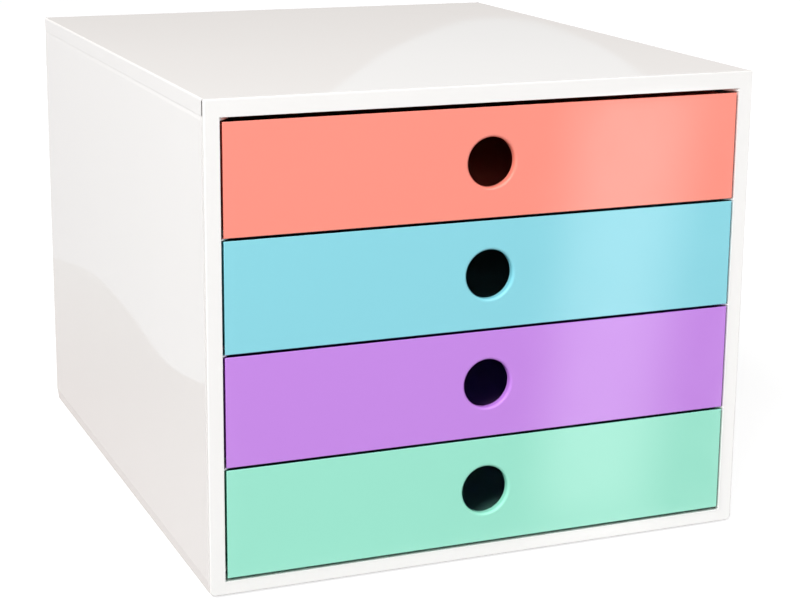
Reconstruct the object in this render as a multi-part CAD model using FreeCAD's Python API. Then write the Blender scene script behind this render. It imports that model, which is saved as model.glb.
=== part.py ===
import FreeCAD, Part
import os

# Desk drawer tower: a glossy moulded casing and four drawers, each pulled by a round finger hole.
# All lengths are millimetres. X runs to the right, Y to the back and Z up.
# The origin lies on the table, under the middle of the casing.

# Casing
case_width = 292.0
case_depth = 340.0
case_height = 244.0
shell_wall = 2.5
shell_round = 1.0
seam_gap = 0.3
seam_bevel = 0.45
cover_skirt = 8.3
base_skirt = 7.0
base_taper = 0.8
base_recess = 1.0
tongue_wall = 1.1
tongue_gap = 0.15
tongue_end_gap = 0.4

# Ribs that stiffen the top cover and the base
rib_wall = 1.6
rib_pitch = 58.0

# Front frame
frame_plate = 3.0
frame_round = 0.9
stile_width = 7.8
top_rail = 8.5
bottom_rail = 7.2
return_wall = 1.8
return_depth = 9.0
nib_reach = 4.2
nib_setback = 0.3
nib_slant = 3.0
nib_gap = 0.2
top_nib_reach = 6.0
top_nib_slant = 6.0
top_nib_gap = 0.45

# Clips that hold the front frame between the side panels
clip_count = 3
clip_width = 14.0
clip_wall = 1.4
clip_gap = 0.4
clip_nose = 0.9
clip_nose_length = 2.4
clip_pocket_gap = 0.25

# Drawer fronts
drawer_names = ["coral", "blue", "violet", "mint"]
drawer_gap = 1.2
top_gap = 2.3
bottom_gap = 1.3
side_gap = 1.1
front_wall = 2.7
front_round = 0.4
hole_diameter = 25.0
hole_round = 1.0
collar_wall = 2.0
collar_depth = 1.2

# Where the inner poles of a curve lie, so that it makes a round quarter turn
quarter_turn_share = 0.5523

# Drawer trays
tray_wall = 2.0
tray_floor = 2.0
tray_side_gap = 1.2
tray_taper = 1.2
tray_corner = 10.0
floor_fillet = 3.0
floor_edge_bevel = 1.0
rim_drop = 2.0
rim_bevel = 0.5

# Runners and what slides on them
slide_gap = 0.3
ledge_wall = 2.6
ledge_rise = 1.5
ledge_width = 7.0
ledge_bevel = 0.5
runner_height = 12.0
runner_wall = 1.8
runner_rear_gap = 1.0
glide_width = 1.0
glide_height = 1.0
glide_gap = 0.4
stop_height = 0.9
stop_width = 1.8
stop_length = 5.0
stop_from_end = 3.0
stop_edge_gap = 0.3
heel_length = 3.0
heel_from_rear = 30.0

# Keys that carry the runners on the side panels
key_count = 3
key_length = 9.0
key_height = 3.2
key_gap = 0.1
key_sink = 0.4
key_from_end = 30.0

# Rear panel
flange_depth = 8.0
flange_wall = 1.5
buffer_depth = 5.0
buffer_width = 3.0
buffer_height = 20.0
buffer_spacing = 120.0

# Feet
foot_proud = 1.5
foot_diameter = 16.0
foot_inset = 24.0
stem_diameter = 4.0
stem_gap = 0.1
stem_proud = 1.2

# How far a cutting solid runs past the face it cuts
overrun = 2.0

# Points closer than this count as one when edges are picked
near_enough = 0.001

# Levels and planes that several pieces share
half_width = case_width / 2
front_y = -case_depth / 2
rear_y = case_depth / 2
case_bottom = foot_proud
case_top = case_bottom + case_height
panel_inner_x = half_width - shell_wall
shell_front_y = front_y + frame_plate + seam_gap
cover_under_z = case_top - shell_wall
skirt_bottom_z = case_top - cover_skirt
base_plate_z = case_bottom + base_recess
base_plate_top_z = base_plate_z + shell_wall
skirt_top_z = case_bottom + base_skirt
lip_wall = shell_wall - tongue_wall - tongue_gap

# The frame's opening
open_half_width = half_width - stile_width
open_bottom_z = case_bottom + bottom_rail
open_top_z = case_top - top_rail
return_end_y = front_y + frame_plate + return_depth
return_half_width = open_half_width + return_wall

# The drawers' fronts, listed from the top down
drawer_count = len(drawer_names)
stack_height = open_top_z - top_gap - open_bottom_z - bottom_gap
front_height = (stack_height - (drawer_count - 1) * drawer_gap) / drawer_count
drawer_pitch = front_height + drawer_gap
front_half_width = open_half_width - side_gap

# The runners' length
runner_front_y = return_end_y + seam_gap
runner_end_y = rear_y - shell_wall - flange_depth - runner_rear_gap
tray_rear_y = rear_y - shell_wall - buffer_depth - slide_gap


def front_bottom_z(index):
    """Height of the lower edge of a drawer's front; index 0 is the top drawer."""
    return open_top_z - top_gap - front_height - index * drawer_pitch


def ledge_top_z(index):
    return front_bottom_z(index) + ledge_rise


def block(x0, x1, y0, y1, z0, z1):
    """A box between two corners, given as the low and high value along each axis."""
    return Part.makeBox(x1 - x0, y1 - y0, z1 - z0, FreeCAD.Vector(x0, y0, z0))


def cylinder(diameter, start, end):
    """A round bar between two points."""
    axis = end - start
    return Part.makeCylinder(diameter / 2, axis.Length, start, axis)


def prism(points, along):
    """A straight-sided outline, pushed along a vector."""
    outline = Part.makePolygon(points + points[:1])
    return Part.Face(outline).extrude(along)


def join(pieces):
    """One solid from pieces that touch or overlap."""
    first = pieces[0]
    rest = pieces[1:]
    if not rest:
        return first
    return first.fuse(rest).removeSplitter()


def edges_at(shape, test):
    """The edges whose every vertex and middle point pass a test."""
    found = []
    for edge in shape.Edges:
        middle = edge.valueAt((edge.FirstParameter + edge.LastParameter) / 2)
        points = [vertex.Point for vertex in edge.Vertexes] + [middle]
        if all(test(point) for point in points):
            found.append(edge)
    return found


def near(a, b):
    return abs(a - b) < near_enough


def rises(edge):
    """True for an edge whose ends lie at different heights."""
    return not near(edge.Vertexes[0].Z, edge.Vertexes[-1].Z)


def mirrored(shape):
    """The same piece for the other side of the casing."""
    return shape.mirror(FreeCAD.Vector(0, 0, 0), FreeCAD.Vector(1, 0, 0))


def evenly(start, end, count):
    """Middles of equal shares of a length."""
    share = (end - start) / count
    return [start + (place + 0.5) * share for place in range(count)]


def tray_form(half, front, rear, corner, bottom, top):
    """A tray's form: square at the front, and tray_taper narrower at the bottom.

    All sizes are those at the top. The round corners at the back are parts of cones.
    """
    centre_x = half - corner
    centre_y = rear - corner
    across = [
        FreeCAD.Vector(-half + tray_taper, front, bottom),
        FreeCAD.Vector(half - tray_taper, front, bottom),
        FreeCAD.Vector(half, front, top),
        FreeCAD.Vector(-half, front, top),
    ]
    along = [
        FreeCAD.Vector(-centre_x, front, bottom),
        FreeCAD.Vector(-centre_x, rear - tray_taper, bottom),
        FreeCAD.Vector(-centre_x, rear, top),
        FreeCAD.Vector(-centre_x, front, top),
    ]
    cone = Part.makeCone(
        corner - tray_taper,
        corner,
        top - bottom,
        FreeCAD.Vector(centre_x, centre_y, bottom),
        FreeCAD.Vector(0, 0, 1),
    )
    pieces = [
        prism(across, FreeCAD.Vector(0, centre_y - front, 0)),
        prism(along, FreeCAD.Vector(2 * centre_x, 0, 0)),
        cone,
        mirrored(cone),
    ]
    return join(pieces)


def top_cover():
    """The lid of the casing: a plate with a skirt at its sides and back and ribs below."""
    outer = block(-half_width, half_width, shell_front_y, rear_y, skirt_bottom_z, case_top)
    rounded = edges_at(
        outer,
        lambda p: near(p.z, case_top) and not near(p.y, shell_front_y)
        or near(abs(p.x), half_width) and near(p.y, rear_y),
    )
    shell = outer.makeFillet(shell_round, rounded)
    hollow = block(
        -half_width + lip_wall,
        half_width - lip_wall,
        shell_front_y - overrun,
        rear_y - lip_wall,
        skirt_bottom_z - overrun,
        cover_under_z,
    )
    shell = shell.cut(hollow)
    shell = bevel_skirt(shell, skirt_bottom_z, seam_bevel)
    ribs = cover_ribs()
    return join([shell] + ribs)


def bevel_skirt(shell, seam_z, bevel):
    """Bevels the outer edge of a skirt where it meets the side and rear panels."""
    outside = edges_at(
        shell,
        lambda p: near(p.z, seam_z) and (near(abs(p.x), half_width) or near(p.y, rear_y)),
    )
    return shell.makeChamfer(bevel, outside) if outside else shell


def cover_ribs():
    """Ribs under the cover. Those that run front to back seat on the frame's return."""
    rib_bottom = open_top_z + return_wall
    reach = panel_inner_x - tongue_gap
    rear = rear_y - shell_wall - tongue_gap
    count = int(2 * reach / rib_pitch)
    ribs = [
        block(x - rib_wall / 2, x + rib_wall / 2, shell_front_y, rear, rib_bottom, cover_under_z)
        for x in evenly(-reach, reach, count)
    ]
    ribs += [
        block(-reach, reach, y - rib_wall / 2, y + rib_wall / 2, rib_bottom, cover_under_z)
        for y in evenly(return_end_y, rear, int((rear - return_end_y) / rib_pitch))
    ]
    return ribs


def base_tray():
    """The floor of the casing: a plate set up inside a low skirt that tapers in downwards."""
    narrow = half_width - base_taper
    across = [
        FreeCAD.Vector(-narrow, shell_front_y, case_bottom),
        FreeCAD.Vector(narrow, shell_front_y, case_bottom),
        FreeCAD.Vector(half_width, shell_front_y, skirt_top_z),
        FreeCAD.Vector(-half_width, shell_front_y, skirt_top_z),
    ]
    along = [
        FreeCAD.Vector(-half_width, shell_front_y, case_bottom),
        FreeCAD.Vector(-half_width, rear_y - base_taper, case_bottom),
        FreeCAD.Vector(-half_width, rear_y, skirt_top_z),
        FreeCAD.Vector(-half_width, shell_front_y, skirt_top_z),
    ]
    outer = prism(across, FreeCAD.Vector(0, rear_y - shell_front_y, 0))
    outer = outer.common(prism(along, FreeCAD.Vector(case_width, 0, 0)))
    rear_corners = edges_at(
        outer,
        lambda p: abs(p.x) > narrow - near_enough and p.y > rear_y - base_taper - near_enough,
    )
    outer = outer.makeFillet(shell_round, [edge for edge in rear_corners if rises(edge)])
    above = block(
        -half_width + lip_wall,
        half_width - lip_wall,
        shell_front_y - overrun,
        rear_y - lip_wall,
        base_plate_top_z,
        skirt_top_z + overrun,
    )
    below = block(
        -narrow + shell_wall,
        narrow - shell_wall,
        shell_front_y + shell_wall,
        rear_y - base_taper - shell_wall,
        case_bottom - overrun,
        base_plate_z,
    )
    tray = join([outer.cut(above).cut(below)] + base_ribs())
    for x, y in foot_places():
        bore = cylinder(
            stem_diameter + 2 * stem_gap,
            FreeCAD.Vector(x, y, case_bottom - overrun),
            FreeCAD.Vector(x, y, base_plate_top_z + overrun),
        )
        tray = tray.cut(bore)
    return tray


def base_ribs():
    """Low ribs on the base, which carry the lower return of the front frame."""
    rib_top = open_bottom_z - return_wall
    reach = panel_inner_x - tongue_gap
    rear = rear_y - shell_wall - tongue_gap
    count = int(2 * reach / rib_pitch)
    stem_room = stem_diameter / 2 + rib_wall / 2 + seam_gap
    ribs = []
    for x in evenly(-reach, reach, count):
        if all(abs(x - foot_x) > stem_room for foot_x, foot_y in foot_places()):
            ribs.append(
                block(x - rib_wall / 2, x + rib_wall / 2, shell_front_y, rear, base_plate_top_z, rib_top)
            )
    return ribs


def foot_places():
    """Centres of the four feet, front ones first."""
    x = half_width - foot_inset
    return [
        (-x, front_y + foot_inset),
        (x, front_y + foot_inset),
        (-x, rear_y - foot_inset),
        (x, rear_y - foot_inset),
    ]


def foot(x, y):
    """A rubber foot: a round pad, with a stem pushed up through the base plate."""
    seat = FreeCAD.Vector(x, y, base_plate_z)
    pad = cylinder(foot_diameter, FreeCAD.Vector(x, y, 0), seat)
    stem = cylinder(stem_diameter, seat, FreeCAD.Vector(x, y, base_plate_top_z + stem_proud))
    return join([pad, stem])


def side_panel():
    """The right side of the casing, with tongues behind the skirts and keys for the runners."""
    low = skirt_top_z + seam_gap
    high = skirt_bottom_z - seam_gap
    skin = block(panel_inner_x, half_width, shell_front_y, rear_y, low, high)
    rear_edge = edges_at(skin, lambda p: near(p.x, half_width) and near(p.y, rear_y))
    skin = skin.makeFillet(shell_round, rear_edge)
    seams = edges_at(
        skin,
        lambda p: near(p.x, half_width) and (near(p.z, low) or near(p.z, high)),
    )
    skin = skin.makeChamfer(seam_bevel, seams)
    tongue_rear_y = rear_y - shell_wall
    upper_tongue = block(
        panel_inner_x,
        panel_inner_x + tongue_wall,
        shell_front_y,
        tongue_rear_y,
        high - shell_wall,
        cover_under_z - tongue_end_gap,
    )
    lower_tongue = block(
        panel_inner_x,
        panel_inner_x + tongue_wall,
        shell_front_y,
        tongue_rear_y,
        base_plate_top_z + tongue_end_gap,
        low + shell_wall,
    )
    panel = join([skin, upper_tongue, lower_tongue] + runner_keys())
    for z in clip_heights():
        panel = panel.cut(clip_pocket(z))
    return panel


def key_places():
    """Where the middles of the keys lie along a runner."""
    first = runner_front_y + key_from_end
    last = runner_end_y - key_from_end
    return [first + place * (last - first) / (key_count - 1) for place in range(key_count)]


def key_z(index):
    """Height of a runner's keys: the middle of its channel above the ledge."""
    channel_bottom = ledge_top_z(index)
    channel_top = ledge_top_z(index) - ledge_wall + runner_height - runner_wall
    return (channel_bottom + channel_top) / 2


def key(index, y, inner_x, outer_x, gap):
    """One key as a block; with a gap all round it is the slot that the key goes through."""
    half_length = key_length / 2 + gap
    half_height = key_height / 2 + gap
    z = key_z(index)
    return block(inner_x, outer_x, y - half_length, y + half_length, z - half_height, z + half_height)


def runner_keys():
    """Keys moulded on the inner face of a side panel, one row for each runner."""
    return [
        key(index, y, open_half_width + key_sink, panel_inner_x + tongue_wall, 0)
        for index in range(drawer_count)
        for y in key_places()
    ]


def clip_heights():
    """Heights of the frame's clips: between the runners."""
    return evenly(open_bottom_z, open_top_z, clip_count)


def clip_pocket(z):
    """The pocket in a side panel that a clip's nose drops into."""
    nose_end_y = return_end_y
    depth = clip_nose - clip_gap + clip_pocket_gap
    return block(
        panel_inner_x - overrun,
        panel_inner_x + depth,
        nose_end_y - clip_nose_length - clip_pocket_gap,
        nose_end_y + clip_pocket_gap,
        z - clip_width / 2 - clip_pocket_gap,
        z + clip_width / 2 + clip_pocket_gap,
    )


def rear_panel():
    """The back of the casing, with side flanges, tongues and the buffers that drawers close on."""
    low = skirt_top_z + seam_gap
    high = skirt_bottom_z - seam_gap
    reach = panel_inner_x - tongue_gap
    inner_y = rear_y - shell_wall
    skin = block(-reach, reach, inner_y, rear_y, low, high)
    seams = edges_at(
        skin,
        lambda p: near(p.y, rear_y) and (near(p.z, low) or near(p.z, high)),
    )
    skin = skin.makeChamfer(seam_bevel, seams)
    tongue_half = reach - lip_wall
    upper_tongue = block(
        -tongue_half,
        tongue_half,
        inner_y,
        inner_y + tongue_wall,
        high - shell_wall,
        cover_under_z - tongue_end_gap,
    )
    lower_tongue = block(
        -tongue_half,
        tongue_half,
        inner_y,
        inner_y + tongue_wall,
        base_plate_top_z + tongue_end_gap,
        low + shell_wall,
    )
    right_flange = block(
        reach - flange_wall,
        reach,
        inner_y - flange_depth,
        inner_y,
        low,
        high,
    )
    pieces = [skin, upper_tongue, lower_tongue, right_flange, mirrored(right_flange)]
    return join(pieces + rear_buffers(inner_y))


def rear_buffers(inner_y):
    """Two short ribs behind each drawer, which it meets when it is pushed home."""
    buffers = []
    for index in range(drawer_count):
        middle_z = front_bottom_z(index) + front_height / 2
        for x in (-buffer_spacing / 2, buffer_spacing / 2):
            buffers.append(
                block(
                    x - buffer_width / 2,
                    x + buffer_width / 2,
                    inner_y - buffer_depth,
                    inner_y,
                    middle_z - buffer_height / 2,
                    middle_z + buffer_height / 2,
                )
            )
    return buffers


def front_frame():
    """The ring round the drawers: a plate, a return behind its inner edge, nibs and clips."""
    plate = block(-half_width, half_width, front_y, front_y + frame_plate, case_bottom, case_top)
    opening = block(
        -open_half_width,
        open_half_width,
        front_y - overrun,
        return_end_y + overrun,
        open_bottom_z,
        open_top_z,
    )
    ring = block(
        -return_half_width,
        return_half_width,
        front_y + frame_plate / 2,
        return_end_y,
        open_bottom_z - return_wall,
        open_top_z + return_wall,
    )
    upright = edges_at(plate, lambda p: near(abs(p.x), half_width) and near(p.y, front_y))
    level = edges_at(
        plate,
        lambda p: near(p.y, front_y) and (near(p.z, case_top) or near(p.z, case_bottom)),
    )
    plate = plate.makeFillet(frame_round, upright + level)
    frame = join([plate, ring]).cut(opening)
    nibs = []
    for tooth in [divider_nib(index) for index in range(drawer_count - 1)] + [top_nib()]:
        nibs += [tooth, mirrored(tooth)]
    clips = []
    for z in clip_heights():
        clip = frame_clip(z)
        clips += [clip, mirrored(clip)]
    return join([frame] + nibs + clips)


def divider_nib(index):
    """A small tooth on the right stile that shows in the gap under a drawer's front."""
    low = front_bottom_z(index) - drawer_gap + nib_gap
    return nib(nib_reach, nib_slant, low, low + drawer_gap - 2 * nib_gap)


def top_nib():
    """The longer tooth in the right corner above the top drawer."""
    low = open_top_z - top_gap + top_nib_gap
    return nib(top_nib_reach, top_nib_slant, low, open_top_z)


def nib(reach, slant, low, high):
    """A flat tooth whose front slants back from the stile to its tip."""
    root_x = open_half_width + return_wall / 2
    tip_x = open_half_width - reach
    face_y = front_y + nib_setback
    points = [
        FreeCAD.Vector(open_half_width, face_y, low),
        FreeCAD.Vector(tip_x, face_y + slant, low),
        FreeCAD.Vector(tip_x, return_end_y, low),
        FreeCAD.Vector(root_x, return_end_y, low),
        FreeCAD.Vector(root_x, face_y, low),
    ]
    return prism(points, FreeCAD.Vector(0, 0, high - low))


def frame_clip(z):
    """A springy arm behind the right stile, with a nose that snaps into the side panel."""
    outer_x = panel_inner_x - clip_gap
    nose_x = outer_x + clip_nose
    start_y = front_y + frame_plate / 2
    nose_start_y = return_end_y - clip_nose_length
    bottom = z - clip_width / 2
    points = [
        FreeCAD.Vector(outer_x - clip_wall, start_y, bottom),
        FreeCAD.Vector(outer_x, start_y, bottom),
        FreeCAD.Vector(outer_x, nose_start_y, bottom),
        FreeCAD.Vector(nose_x, nose_start_y, bottom),
        FreeCAD.Vector(outer_x, return_end_y, bottom),
        FreeCAD.Vector(outer_x - clip_wall, return_end_y, bottom),
    ]
    return prism(points, FreeCAD.Vector(0, 0, clip_width))


def runner(index):
    """The right runner of a drawer: a channel on the side panel with a ledge to slide on."""
    ledge_top = ledge_top_z(index)
    bottom = ledge_top - ledge_wall
    top = bottom + runner_height
    web_outer_x = open_half_width + runner_wall
    ledge_x = open_half_width - ledge_width
    profile = [
        FreeCAD.Vector(panel_inner_x, runner_front_y, bottom),
        FreeCAD.Vector(ledge_x, runner_front_y, bottom),
        FreeCAD.Vector(ledge_x, runner_front_y, ledge_top),
        FreeCAD.Vector(open_half_width, runner_front_y, ledge_top),
        FreeCAD.Vector(open_half_width, runner_front_y, top),
        FreeCAD.Vector(panel_inner_x, runner_front_y, top),
        FreeCAD.Vector(panel_inner_x, runner_front_y, top - runner_wall),
        FreeCAD.Vector(web_outer_x, runner_front_y, top - runner_wall),
        FreeCAD.Vector(web_outer_x, runner_front_y, ledge_top),
        FreeCAD.Vector(panel_inner_x, runner_front_y, ledge_top),
    ]
    rail = prism(profile, FreeCAD.Vector(0, runner_end_y - runner_front_y, 0))
    leading = edges_at(rail, lambda p: near(p.x, ledge_x) and near(p.y, runner_front_y))
    rail = rail.makeChamfer(ledge_bevel, leading)
    rail = join([rail, runner_stop(index)])
    for y in key_places():
        rail = rail.cut(key(index, y, open_half_width - overrun, web_outer_x + overrun, key_gap))
    return rail


def runner_stop(index):
    """A wedge on the ledge: the drawer's heel climbs it going in and catches it coming out."""
    start_y = runner_front_y + stop_from_end
    x = open_half_width - ledge_width + stop_edge_gap
    z = ledge_top_z(index)
    points = [
        FreeCAD.Vector(x, start_y, z),
        FreeCAD.Vector(x, start_y + stop_length, z),
        FreeCAD.Vector(x, start_y + stop_length, z + stop_height),
    ]
    return prism(points, FreeCAD.Vector(stop_width, 0, 0))


def drawer(index):
    """One drawer: the front, the tray behind it, the hole's collar and the glides and heels."""
    front_z = front_bottom_z(index)
    middle_z = front_z + front_height / 2
    floor_z = ledge_top_z(index) + slide_gap + glide_height
    rim_z = front_z + front_height - rim_drop
    body = join([drawer_front(front_z), tray_outside(floor_z, rim_z)])
    body = body.cut(tray_inside(floor_z + tray_floor, rim_z))
    rim = edges_at(body, lambda p: near(p.z, rim_z) and p.y > front_y + front_wall - near_enough)
    body = body.makeChamfer(rim_bevel, [edge for edge in rim if not meets_front(edge)])
    parts = [body, hole_collar(middle_z)]
    for part in glides_and_heels(floor_z):
        parts += [part, mirrored(part)]
    return join(parts).cut(finger_hole(middle_z))


def meets_front(edge):
    """True for an edge that lies against the back of the drawer's front."""
    return all(near(vertex.Y, front_y + front_wall) for vertex in edge.Vertexes)


def drawer_front(front_z):
    """The coloured plate that closes the opening, with soft edges at its face."""
    plate = block(
        -front_half_width,
        front_half_width,
        front_y,
        front_y + front_wall,
        front_z,
        front_z + front_height,
    )
    face = edges_at(plate, lambda p: near(p.y, front_y))
    return plate.makeFillet(front_round, face)


def tray_outside(floor_z, rim_z):
    """The tray's outer form, which starts within the front's wall."""
    half = open_half_width - tray_side_gap
    start_y = front_y + front_wall / 2
    form = tray_form(half, start_y, tray_rear_y, tray_corner, floor_z, rim_z)
    floor_edges = edges_at(form, lambda p: near(p.z, floor_z))
    outside = [edge for edge in floor_edges if edge.BoundBox.YMax > start_y + near_enough]
    return form.makeChamfer(floor_edge_bevel, outside)


def tray_inside(floor_top_z, rim_z):
    """The space inside the tray, with a fillet all round its floor, and the way out above it."""
    half = open_half_width - tray_side_gap - tray_wall
    front = front_y + front_wall
    form = tray_form(half, front, tray_rear_y - tray_wall, tray_corner - tray_wall, floor_top_z, rim_z)
    return form.makeFillet(floor_fillet, edges_at(form, lambda p: near(p.z, floor_top_z)))


def hole_collar(middle_z):
    """The round boss behind the front that makes the hole's edge thick enough to pull."""
    start = FreeCAD.Vector(0, front_y + front_wall / 2, middle_z)
    end = FreeCAD.Vector(0, front_y + front_wall + collar_depth, middle_z)
    return cylinder(hole_diameter + 2 * collar_wall, start, end)


def glides_and_heels(floor_z):
    """What touches the right runner: a glide along the floor and the heel that stops the drawer."""
    heel_x = open_half_width - ledge_width + stop_edge_gap
    glide_x = heel_x + stop_width + glide_gap
    bottom = floor_z - glide_height
    glide = block(
        glide_x,
        glide_x + glide_width,
        front_y + front_wall,
        tray_rear_y - tray_corner,
        bottom,
        floor_z + tray_floor / 2,
    )
    heel_y = tray_rear_y - heel_from_rear
    heel = block(
        heel_x,
        heel_x + stop_width,
        heel_y - heel_length,
        heel_y,
        bottom,
        floor_z + tray_floor / 2,
    )
    return [glide, heel]


def finger_hole(middle_z):
    """The cutting form of the finger hole, with a rounded lip at the face."""
    radius = hole_diameter / 2
    mouth = radius + hole_round
    lip_end_y = front_y + hole_round
    behind_y = front_y + front_wall + collar_depth + overrun
    pole = quarter_turn_share * hole_round
    lip = Part.BezierCurve()
    lip.setPoles(
        [
            FreeCAD.Vector(mouth, front_y, middle_z),
            FreeCAD.Vector(mouth - pole, front_y, middle_z),
            FreeCAD.Vector(radius, lip_end_y - pole, middle_z),
            FreeCAD.Vector(radius, lip_end_y, middle_z),
        ]
    )
    straight = Part.makePolygon(
        [
            FreeCAD.Vector(radius, lip_end_y, middle_z),
            FreeCAD.Vector(radius, behind_y, middle_z),
            FreeCAD.Vector(0, behind_y, middle_z),
            FreeCAD.Vector(0, front_y - overrun, middle_z),
            FreeCAD.Vector(mouth, front_y - overrun, middle_z),
            FreeCAD.Vector(mouth, front_y, middle_z),
        ]
    )
    face = Part.Face(Part.Wire([lip.toShape()] + straight.Edges))
    full_turn = 360
    return face.revolve(FreeCAD.Vector(0, 0, middle_z), FreeCAD.Vector(0, 1, 0), full_turn)


def build():
    """Every piece of the tower by name."""
    pieces = {
        "front_frame": front_frame(),
        "top_cover": top_cover(),
        "base_tray": base_tray(),
        "rear_panel": rear_panel(),
    }
    right_panel = side_panel()
    pieces["side_panel_right"] = right_panel
    pieces["side_panel_left"] = mirrored(right_panel)
    for index, name in enumerate(drawer_names):
        pieces["drawer_" + name] = drawer(index)
        right_runner = runner(index)
        pieces["runner_" + name + "_right"] = right_runner
        pieces["runner_" + name + "_left"] = mirrored(right_runner)
    foot_names = ["front_left", "front_right", "rear_left", "rear_right"]
    for name, (x, y) in zip(foot_names, foot_places()):
        pieces["foot_" + name] = foot(x, y)
    return pieces


os.makedirs("parts", exist_ok=True)
for name, shape in build().items():
    shape.exportStep(os.path.join("parts", name + ".step"))
travel = tray_rear_y - heel_from_rear - heel_length - (runner_front_y + stop_from_end + stop_length)
print("front height", round(front_height, 3), "drawer travel", round(travel, 3))
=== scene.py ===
import math

import bmesh
import bpy
from mathutils import Matrix, Vector


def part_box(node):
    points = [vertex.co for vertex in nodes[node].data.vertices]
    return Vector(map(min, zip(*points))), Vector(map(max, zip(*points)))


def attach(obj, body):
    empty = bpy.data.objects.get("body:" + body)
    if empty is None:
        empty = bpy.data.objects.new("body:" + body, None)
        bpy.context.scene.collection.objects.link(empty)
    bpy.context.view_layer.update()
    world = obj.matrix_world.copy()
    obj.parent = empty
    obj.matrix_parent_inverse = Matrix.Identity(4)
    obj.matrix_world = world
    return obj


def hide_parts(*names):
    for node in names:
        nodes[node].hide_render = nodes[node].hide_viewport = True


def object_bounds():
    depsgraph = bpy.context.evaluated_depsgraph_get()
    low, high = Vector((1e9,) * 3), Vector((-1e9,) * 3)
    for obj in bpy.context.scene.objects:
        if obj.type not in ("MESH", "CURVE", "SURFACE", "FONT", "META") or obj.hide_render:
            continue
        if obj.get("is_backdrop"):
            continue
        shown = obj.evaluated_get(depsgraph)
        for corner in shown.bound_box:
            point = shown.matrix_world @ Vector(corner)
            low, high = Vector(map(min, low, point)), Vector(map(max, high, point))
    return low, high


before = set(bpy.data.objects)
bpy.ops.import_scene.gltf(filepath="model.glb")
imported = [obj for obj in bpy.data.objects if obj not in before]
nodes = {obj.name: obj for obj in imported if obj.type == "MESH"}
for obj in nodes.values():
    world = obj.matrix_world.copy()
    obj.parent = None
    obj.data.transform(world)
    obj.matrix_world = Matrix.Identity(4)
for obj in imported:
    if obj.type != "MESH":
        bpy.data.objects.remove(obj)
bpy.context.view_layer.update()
bpy.ops.object.select_all(action="DESELECT")
print("frame loaded with", len(nodes), "nodes")

mm = 0.001
closeBy = 0.02 * mm  # two places nearer than this are the same place
weldBy = 0.002 * mm  # points nearer than this become one
slack = 0.05 * mm  # how far thin cutters overlap
past = 2 * mm  # how far other cutters reach beyond what they cut
farPast = 5 * mm
softSteps = 3  # facets of a small rounding
fineSteps = 2
smoothAngle = 40  # degrees


# modelling helpers


def pickOnly(*pieces):
    if bpy.context.object and bpy.context.object.mode != "OBJECT":
        bpy.ops.object.mode_set(mode="OBJECT")
    bpy.ops.object.select_all(action="DESELECT")
    for piece in pieces:
        piece.select_set(True)
    bpy.context.view_layer.objects.active = pieces[0]


def addBlock(name, low, high):
    low, high = Vector(low), Vector(high)
    bpy.ops.object.select_all(action="DESELECT")
    bpy.ops.mesh.primitive_cube_add(size=1, location=(low + high) / 2)
    block = bpy.context.active_object
    block.name = name
    block.scale = high - low
    bpy.ops.object.transform_apply(location=True, rotation=True, scale=True)
    return block


def addBar(name, radius, start, end, sides):
    start, end = Vector(start), Vector(end)
    turn = (end - start).to_track_quat("Z", "Y").to_euler()
    bpy.ops.object.select_all(action="DESELECT")
    depth, middle = (end - start).length, (start + end) / 2
    bpy.ops.mesh.primitive_cylinder_add(
        vertices=sides, radius=radius, depth=depth, location=middle, rotation=turn
    )
    bar = bpy.context.active_object
    bar.name = name
    bpy.ops.object.transform_apply(location=True, rotation=True, scale=True)
    return bar


def selectEdges(piece, test):  # enters edit mode with the edges whose two ends pass the test
    pickOnly(piece)
    bpy.ops.object.mode_set(mode="EDIT")
    bpy.ops.mesh.select_mode(type="EDGE")
    bpy.ops.mesh.select_all(action="DESELECT")
    mesh = bmesh.from_edit_mesh(piece.data)
    found = 0
    for edge in mesh.edges:
        a, b = edge.verts[0].co, edge.verts[1].co
        if test(a, b):
            edge.select_set(True)
            found += 1
    bmesh.update_edit_mesh(piece.data)
    return found


def selectPoints(piece, test):
    pickOnly(piece)
    bpy.ops.object.mode_set(mode="EDIT")
    bpy.ops.mesh.select_mode(type="VERT")
    bpy.ops.mesh.select_all(action="DESELECT")
    mesh = bmesh.from_edit_mesh(piece.data)
    found = 0
    for point in mesh.verts:
        if test(point.co):
            point.select_set(True)
            found += 1
    mesh.select_flush(True)
    bmesh.update_edit_mesh(piece.data)
    return found


def roundEdges(piece, test, width, steps):
    found = selectEdges(piece, test)
    if found:
        bpy.ops.mesh.bevel(offset=width, offset_type="OFFSET", segments=steps, affect="EDGES")
    else:
        print("no edges found to round on", piece.name)
    bpy.ops.object.mode_set(mode="OBJECT")


def shiftPoints(piece, test, step):
    if not selectPoints(piece, test):
        print("no points found to shift on", piece.name)
    bpy.ops.transform.translate(value=step)
    bpy.ops.object.mode_set(mode="OBJECT")


def combine(piece, other, operation):
    step = piece.modifiers.new(operation.lower(), "BOOLEAN")
    step.operation = operation
    step.solver = "EXACT"
    step.object = other
    step.use_self = True
    pickOnly(piece)
    bpy.ops.object.modifier_apply(modifier=step.name)
    bpy.data.objects.remove(other)
    return piece


def cutAway(piece, other):
    return combine(piece, other, "DIFFERENCE")


def growOn(piece, other):
    return combine(piece, other, "UNION")


def gather(pieces):  # one object from several that do not touch each other
    pickOnly(*pieces)
    bpy.ops.object.join()
    return bpy.context.active_object


def copyPiece(piece, name, step=(0, 0, 0)):
    pickOnly(piece)
    bpy.ops.object.duplicate(linked=False)
    twin = bpy.context.active_object
    twin.name = name
    twin.data.name = name
    twin.location = step
    bpy.ops.object.transform_apply(location=True, rotation=True, scale=True)
    return twin


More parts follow.
